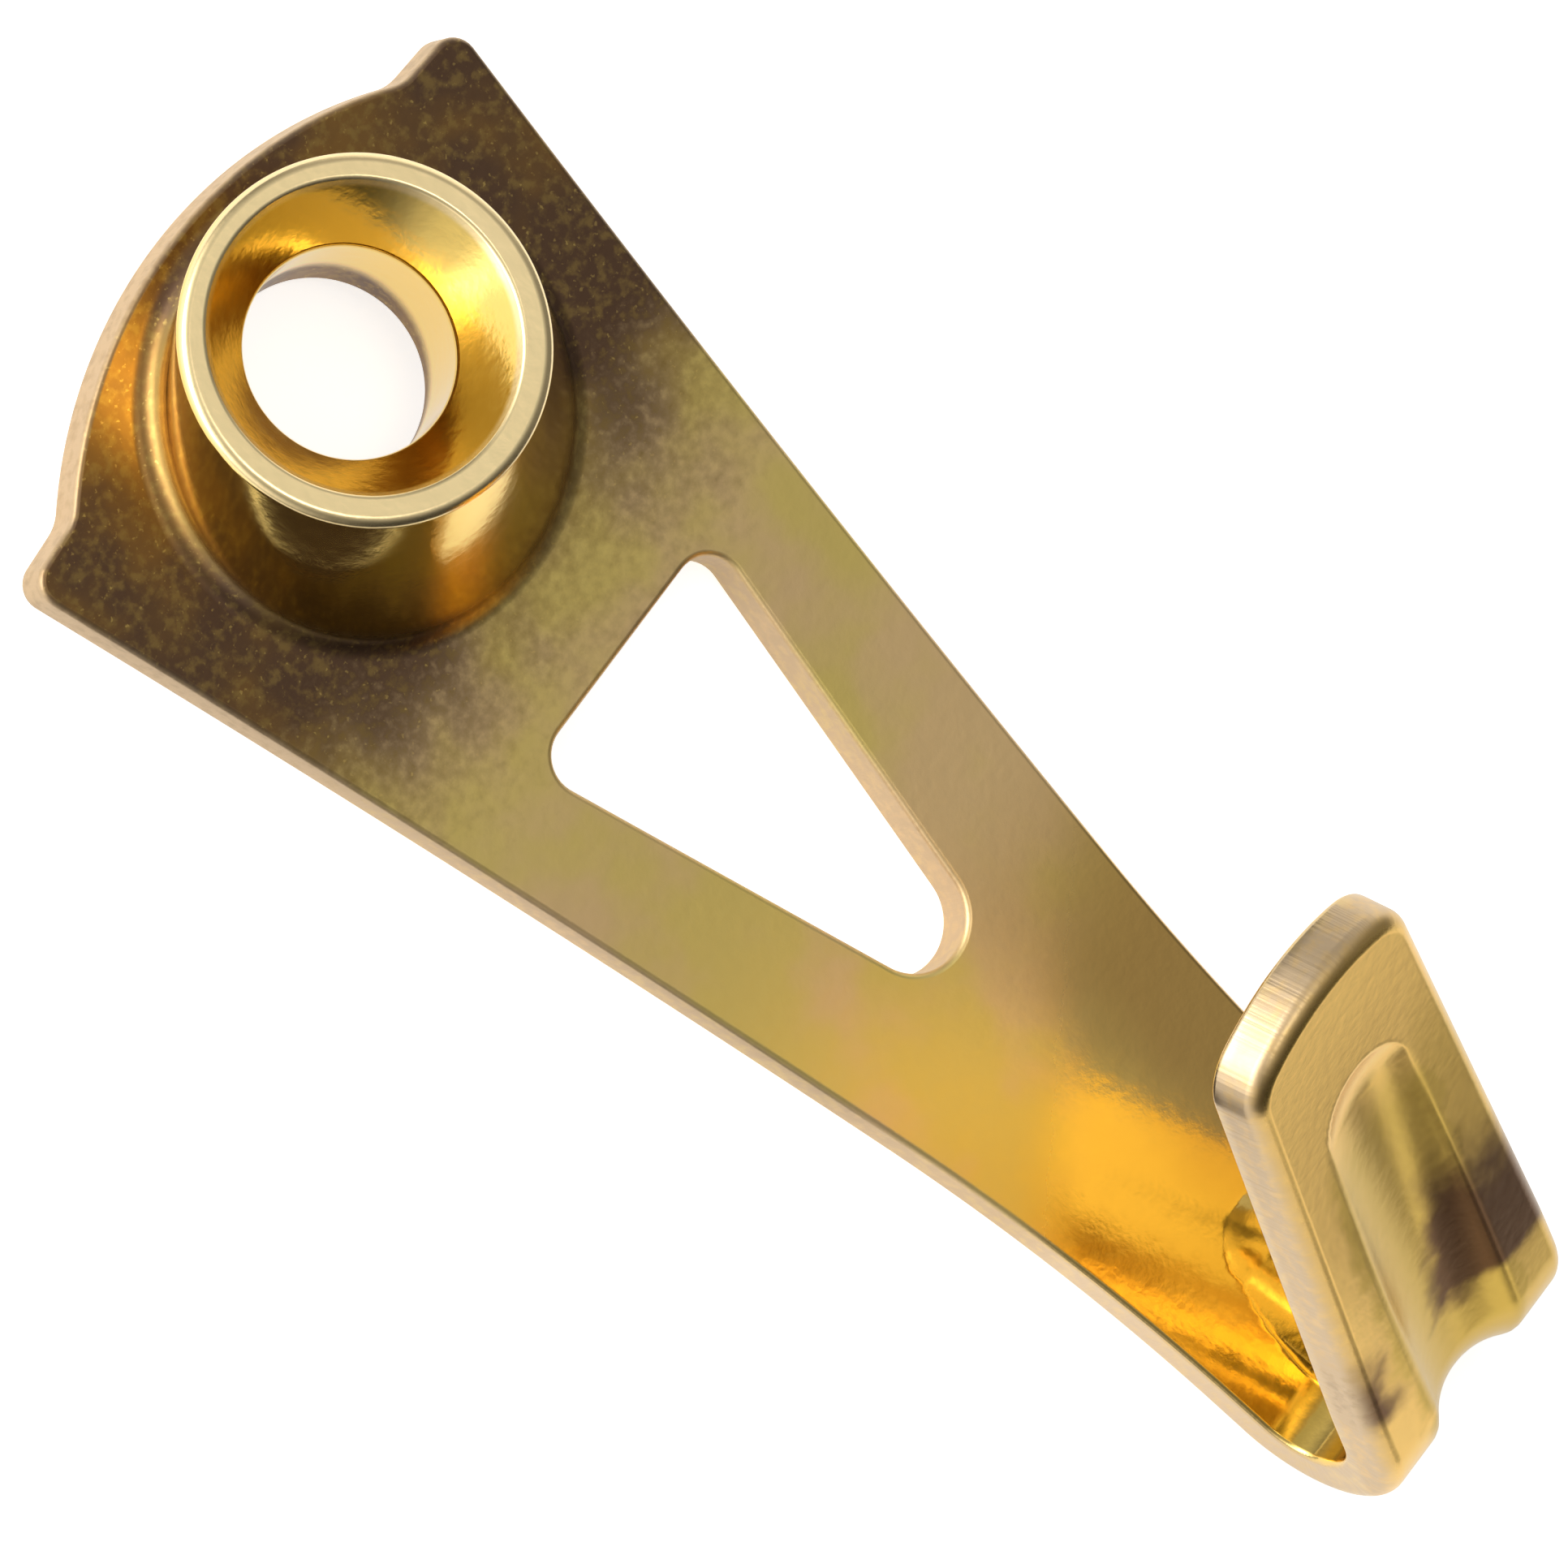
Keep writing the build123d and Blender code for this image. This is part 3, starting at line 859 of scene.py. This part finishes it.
@dataclass(frozen=True)
class TongueShade:
    """Painted shade on the tongue's outer face: brown marks and an amber tint.

    The wide mark lies right of the groove's bottom and tapers away from the fold; the narrow
    one lies on the left border. Lengths run from the middle line and from the fold's end.
    """

    ragged_size: float = 0.8
    ragged: float = 1.2
    taper: float = 0.22
    right: Ramp = ((-0.7, 0.0), (-0.1, 1.0))
    skew: float = 0.55
    wide_end: Ramp = ((3.4, 1.0), (5.6, 0.0))
    narrow_side: Ramp = ((-1.9, 1.0), (-1.2, 0.0))
    narrow_end: Ramp = ((1.6, 1.0), (3.2, 0.0))
    marks_start: Ramp = ((0.6, 0.0), (1.2, 0.92))
    groove_side: Ramp = ((1.1, 0.9), (1.5, 0.0))
    groove_end: Ramp = ((6.0, 1.0), (7.4, 0.0))
    amber_end: Ramp = ((6.0, 0.6), (9.0, 0.0))

    def paint(self, graph: Graph, place: Socket, across: Socket, reach: Socket) -> Socket:
        """The outer face's colour. Reach is the distance past the fold's end."""
        ragged = graph.wander(graph.noise(place, self.ragged_size), self.ragged)
        across, reach = graph.plus(across, ragged), graph.plus(reach, ragged)
        right = graph.span(graph.minus(across, graph.times(reach, self.taper)), self.right)
        ends = graph.plus(reach, graph.times(across, self.skew))
        wide = graph.times(right, graph.span(ends, self.wide_end))
        narrow = graph.times(graph.span(across, self.narrow_side), graph.span(reach, self.narrow_end))
        # Painted shade: brown marks for the dark reflection near the fold.
        marks = graph.times(graph.math("MAXIMUM", wide, narrow), graph.span(reach, self.marks_start))
        # Painted shade: amber in the groove and right of it near the fold.
        groove = graph.span(graph.math("ABSOLUTE", across), self.groove_side)
        groove = graph.times(groove, graph.span(reach, self.groove_end))
        amber = graph.times(right, graph.span(reach, self.amber_end))
        tone = graph.mix(graph.math("MAXIMUM", groove, amber), Tone.DEEP, Tone.AMBER)
        return graph.mix(marks, tone, Tone.SHADOW_BROWN)


@dataclass(frozen=True)
class YellowPlating:
    """Yellow plating: clouded on the plate and thin on the cut edge, with painted shade, a painted
    highlight and a painted reflection.

    Lengths are in millimetres. The plate is dulled from the nail end's painted shade to a slanting line
    before the fold; past it the plate is painted gold, a painted reflection of the tongue, with painted
    shade towards the fold. A ramp holds two places with the share at each.
    """

    roughness: float = 0.13
    dull_roughness: float = 0.38
    cut_roughness: float = 0.3
    soft_roughness: float = 0.24
    peel_roughness: float = 0.08
    peel_size: float = 0.2
    peel_height: float = 0.003
    sway_size: float = 4.0
    sway_height: float = 0.02
    cloud_size: float = 2.4
    shear_size: float = 0.09
    shear_height: float = 0.005
    nail_lean: float = 13.0
    hook_lean: float = 44.0
    fold_end_level: float = -6.81
    plate: Ramp = ((0.95, 1.0), (1.4, 0.0))
    # Line where the painted reflection of the tongue gives way to the dulled plate.
    dulled: Ramp = ((-6.2, 0.0), (-4.4, 1.0))
    dull_slant: float = 0.66
    clouds: Ramp = ((0.38, 0.0), (0.62, 1.0))
    # Painted shade towards the fold.
    fold: Ramp = ((-12.0, 0.75), (-6.0, 0.0))
    outer_side: Ramp = ((10.15, 0.0), (10.35, 1.0))
    rim: Ramp = ((5.52, 0.0), (5.6, 1.0))
    nail_end: Ramp = ((4.0, 0.0), (5.0, 1.0))
    shade_drift: float = 1.6
    shade_side: Ramp = ((0.5, 0.0), (2.4, 0.85))
    shade_end: Ramp = ((-5.5, 1.0), (-1.5, 0.0))
    worn: Ramp = ((0.3, 0.75), (0.6, 1.0))
    nail_shade: NailEndShade = field(default_factory=NailEndShade)
    tongue_shade: TongueShade = field(default_factory=TongueShade)

    def material(self) -> bpy.types.Material:
        """The plating's material, on Object coordinates and the cut edge's attributes."""
        made = bpy.data.materials.new("yellow_plating")
        graph = Graph(made)
        place = graph.add("ShaderNodeTexCoord", {}).outputs["Object"]
        place = graph.add("ShaderNodeMapping", {"Vector": place, "Scale": (1 / MM,) * 3}).outputs[0]
        across, along, height = graph.add("ShaderNodeSeparateXYZ", {0: place}).outputs
        cut = graph.add("ShaderNodeAttribute", {}, attribute_name="sheared").outputs["Fac"]
        run = graph.add("ShaderNodeAttribute", {}, attribute_name="run").outputs["Fac"]
        cloud, peel = graph.noise(place, self.cloud_size), graph.noise(place, self.peel_size)

        low = graph.span(height, self.plate)
        # Before a slanting line the plate is dulled and clouded olive; past it, towards the fold, it
        # keeps the gold tone as a painted reflection of the tongue.
        slant = graph.minus(along, graph.times(across, self.dull_slant))
        dull_outside_reflection = graph.times(graph.span(slant, self.dulled), low)
        deep = graph.span(graph.level(along, height, -self.hook_lean), self.outer_side)
        # Painted highlight: the rim's top is painted pale for its bright reflections, and given a softer
        # finish.
        rim_highlight = graph.span(graph.level(along, height, self.nail_lean), self.rim)
        rim_highlight = graph.times(rim_highlight, graph.span(along, self.nail_end))

        reach = graph.level(along, height, 90.0 - self.hook_lean)
        # Painted shade marks and tint on the tongue's outer face.
        tongue = self.tongue_shade.paint(graph, place, across, graph.minus(reach, self.fold_end_level))
        # Painted shade: amber on the plate towards the fold.
        fold = graph.times(low, graph.span(along, self.fold))
        tone = graph.mix(deep, graph.mix(fold, Tone.GOLD, Tone.AMBER), tongue)
        tone = graph.mix(rim_highlight, tone, Tone.PALE)
        clouded = graph.mix(graph.span(cloud, self.clouds), Tone.OLIVE, Tone.STRAW)
        tone = graph.mix(dull_outside_reflection, tone, clouded)
        side = graph.plus(across, graph.times(cloud, self.shade_drift))
        shade = graph.times(graph.span(side, self.shade_side), graph.span(along, self.shade_end))
        tone = graph.mix(graph.times(shade, low), tone, Tone.BRONZE)
        # Painted shade: the nail end's dark reflection, painted as a brown patch on the plate.
        share, nail_shaded = self.nail_shade.paint(graph, place, along, cloud)
        tone = graph.mix(graph.times(share, low), tone, nail_shaded)
        worn = graph.times(cut, graph.span(peel, self.worn))

        rough = graph.plus(
            graph.times(peel, self.peel_roughness), self.roughness - self.peel_roughness / 2
        )
        for part, value in (
            (dull_outside_reflection, self.dull_roughness),
            (graph.math("MAXIMUM", rim_highlight, deep), self.soft_roughness),
            (cut, self.cut_roughness),
        ):
            rough = graph.plus(rough, graph.times(part, value - self.roughness))
        inputs = {
            "Base Color": graph.mix(worn, tone, Tone.PEACH),
            "Metallic": 1.0,
            "Roughness": rough,
            "Normal": self.relief(graph, place, peel, cut, run),
        }
        shader = graph.add("ShaderNodeBsdfPrincipled", inputs)
        graph.add("ShaderNodeOutputMaterial", {"Surface": shader.outputs[0]})
        return made

    def relief(self, graph: Graph, place: Socket, peel: Socket, cut: Socket, run: Socket) -> Socket:
        """Normal with a slow sway, a peel all over and shear marks along the cut edge's run."""
        inputs = {"W": graph.math("DIVIDE", run, self.shear_size), "Detail": 2.0, "Scale": 1.0}
        marks = graph.add("ShaderNodeTexNoise", inputs, noise_dimensions="1D").outputs["Fac"]
        sway = graph.noise(place, self.sway_size, 1.0)
        below = {}
        for surface, share, size in (
            (sway, 1.0, self.sway_height),
            (peel, 1.0, self.peel_height),
            (marks, cut, self.shear_height),
        ):
            inputs = {"Height": surface, "Strength": share, "Distance": size * MM, **below}
            below = {"Normal": graph.add("ShaderNodeBump", inputs).outputs[0]}
        return below["Normal"]


# ---- studio ----
@dataclass(frozen=True)
class Glow:
    """Soft patch of light on the room's walls and ceiling.

    It has its strength in the middle and falls off as exp(tightness (cos angle - 1)).
    """

    name: str
    azimuth: float
    elevation: float
    strength: float
    tightness: float = 14.0

    def direction(self) -> tuple[float, float, float]:
        """Unit vector from the hook to the patch."""
        turn, rise = np.radians((self.azimuth, self.elevation))
        level = float(np.cos(rise))
        return level * float(np.cos(turn)), level * float(np.sin(turn)), float(np.sin(rise))

    def light(self, graph: Graph, place: Socket) -> Socket:
        """Adds the patch's light over the directions in place."""
        inputs = {0: place, 1: self.direction()}
        near = graph.add("ShaderNodeVectorMath", inputs, operation="DOT_PRODUCT", label=self.name)
        fall = graph.times(graph.minus(near.outputs["Value"], 1.0), self.tightness)
        return graph.times(graph.math("EXPONENT", fall), self.strength)


@dataclass(frozen=True)
class Studio:
    """White table in a dim room with soft patches of light. Lengths in millimetres."""

    floor_half: float = 900.0
    floor_drop: float = 0.01
    floor_tone: float = 0.8
    eye_glow: float = 0.75
    metal_glow: Ramp = ((-26.0, 0.36), (-6.0, 0.62))
    dim: float = 0.035
    # Outlines of dark sheets on the table that stand in for shade there; only the metal mirrors them.
    shade_outlines: tuple = (
        ((5.0, -26.0), (15.0, -26.0), (17.0, -40.0), (8.0, -40.0)),
        ((-4.0, -30.0), (3.0, -30.0), (5.0, -60.0), (-6.0, -60.0)),
        ((-6.4, 10.5), (-3.7, -4.0), (-14.0, -12.0), (-22.0, 6.0)),
    )
    patches: tuple = (
        Glow("overhead", 60.0, 74.0, 0.75, 5.0),
        Glow("skylight", 75.0, 82.0, 6.0, 200.0),
        Glow("left_wall", 152.0, 22.0, 1.2),
        Glow("left_corner", -178.0, 22.0, 0.7),
        Glow("right_wall", 13.0, 5.0, 1.3, 12.0),
        Glow("hook_wall", -45.0, 22.0, 0.15),
        Glow("nail_wall", 98.0, 22.0, 1.9),
        Glow("nail_window", 108.0, 26.0, 6.0, 60.0),
        Glow("nail_lamp", 124.0, 20.0, 7.0, 40.0),
        Glow("left_window", 146.0, 14.0, 5.0, 60.0),
    )

    def build(self) -> None:
        """Adds the table, the dark sheets of painted shade and the room."""
        self.table()
        self.shade_sheets()
        self.room()

    @staticmethod
    def sheet(name: str, finish: str, points: np.ndarray, drop: float) -> tuple[bpy.types.Object, Graph]:
        """Level four-cornered faces, drop below the hook, and their material's empty graph."""
        points = np.concatenate([points, np.full((len(points), 1), -drop)], axis=1)
        made = mesh_object(name, points, np.arange(len(points)).reshape(-1, 4).tolist())
        material = bpy.data.materials.new(finish)
        made.data.materials.append(material)
        return made, Graph(material)

    def shade_sheets(self) -> None:
        """Painted shade: dark sheets flat on the table beside the hook, which only the metal mirrors."""
        points = np.array(self.shade_outlines).reshape(-1, 2)
        made, graph = self.sheet("shade_sheets", "shade_black", points, 0.0)
        made.visible_camera = made.visible_shadow = made.visible_diffuse = False
        matt = graph.add("ShaderNodeBsdfDiffuse", {"Color": Tone.SHEET_SHADE})
        graph.add("ShaderNodeOutputMaterial", {"Surface": matt.outputs[0]})

    def table(self) -> None:
        """Square table top under the hook, which also glows to the eye and the metal.

        Its glow to the metal falls off towards the tongue's end of the room, which is darker.
        """
        points = self.floor_half * np.array([[-1.0, -1.0], [1.0, -1.0], [1.0, 1.0], [-1.0, 1.0]])
        _, graph = self.sheet("table_top", "table_white", points, self.floor_drop)
        path = graph.add("ShaderNodeLightPath", {}).outputs
        metal = graph.math("MAXIMUM", path["Is Glossy Ray"], path["Is Transmission Ray"])
        place = graph.add("ShaderNodeTexCoord", {}).outputs["Object"]
        along = graph.math("DIVIDE", graph.add("ShaderNodeSeparateXYZ", {0: place}).outputs[1], MM)
        eye = graph.times(path["Is Camera Ray"], self.eye_glow)
        strength = graph.plus(eye, graph.times(metal, graph.span(along, self.metal_glow)))
        matt = graph.add("ShaderNodeBsdfDiffuse", {"Color": (self.floor_tone,) * 3 + (1.0,)})
        glow = graph.add("ShaderNodeEmission", {"Color": Tone.WHITE, "Strength": strength})
        both = graph.add("ShaderNodeAddShader", {0: matt.outputs[0], 1: glow.outputs[0]})
        graph.add("ShaderNodeOutputMaterial", {"Surface": both.outputs[0]})

    def room(self) -> None:
        """World light: the dim tone plus every patch."""
        world = bpy.data.worlds.new("room")
        bpy.context.scene.world = world
        graph = Graph(world)
        place = graph.add("ShaderNodeTexCoord", {}).outputs["Generated"]
        strength = self.dim
        for patch in self.patches:
            strength = graph.plus(patch.light(graph, place), strength)
        glow = graph.add("ShaderNodeBackground", {"Color": Tone.WHITE, "Strength": strength})
        graph.add("ShaderNodeOutputWorld", {"Surface": glow.outputs[0]})


@dataclass(frozen=True)
class Viewpoint:
    """Long-lens camera. Directions are in the hook's frame and distances in millimetres."""

    target: tuple = (0.48, 0.28, 0.0)
    right: tuple = (0.566, -0.714, 0.411)
    towards: tuple = (-0.330, 0.2605, 0.907)
    frame_width: float = 23.0
    distance: float = 1000.0
    sensor: float = 36.0
    clip: tuple = (10.0, 10000.0)

    def build(self) -> None:
        """Adds the camera: its lens is sensor times distance over the width it frames."""
        data = bpy.data.cameras.new("camera")
        data.sensor_width = self.sensor
        data.lens = self.sensor * self.distance / self.frame_width
        data.clip_start, data.clip_end = self.clip[0] * MM, self.clip[1] * MM
        back = Vector(self.towards).normalized()
        right = Vector(self.right)
        right = (right - back * right.dot(back)).normalized()
        up = back.cross(right)
        made = bpy.data.objects.new("camera", data)
        turn = Matrix((right, up, back)).transposed().to_4x4()
        made.matrix_world = Matrix.Translation((Vector(self.target) + back * self.distance) * MM) @ turn
        bpy.context.scene.collection.objects.link(made)
        bpy.context.scene.camera = made


def main() -> None:
    """Builds the hook's skin, its finish, the studio and the camera."""
    logging.basicConfig(level=logging.INFO)
    bpy.context.scene.view_settings.view_transform = "Standard"
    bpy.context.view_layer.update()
    low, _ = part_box(NODE)
    skin = Strip(low[1] / MM).build()
    skin.data.materials.append(YellowPlating().material())
    LOG.info("%s: %d faces", skin.name, len(skin.data.polygons))
    Studio().build()
    Viewpoint().build()
    LOG.info("studio and camera ready")


if __name__ == "__main__":
    main()
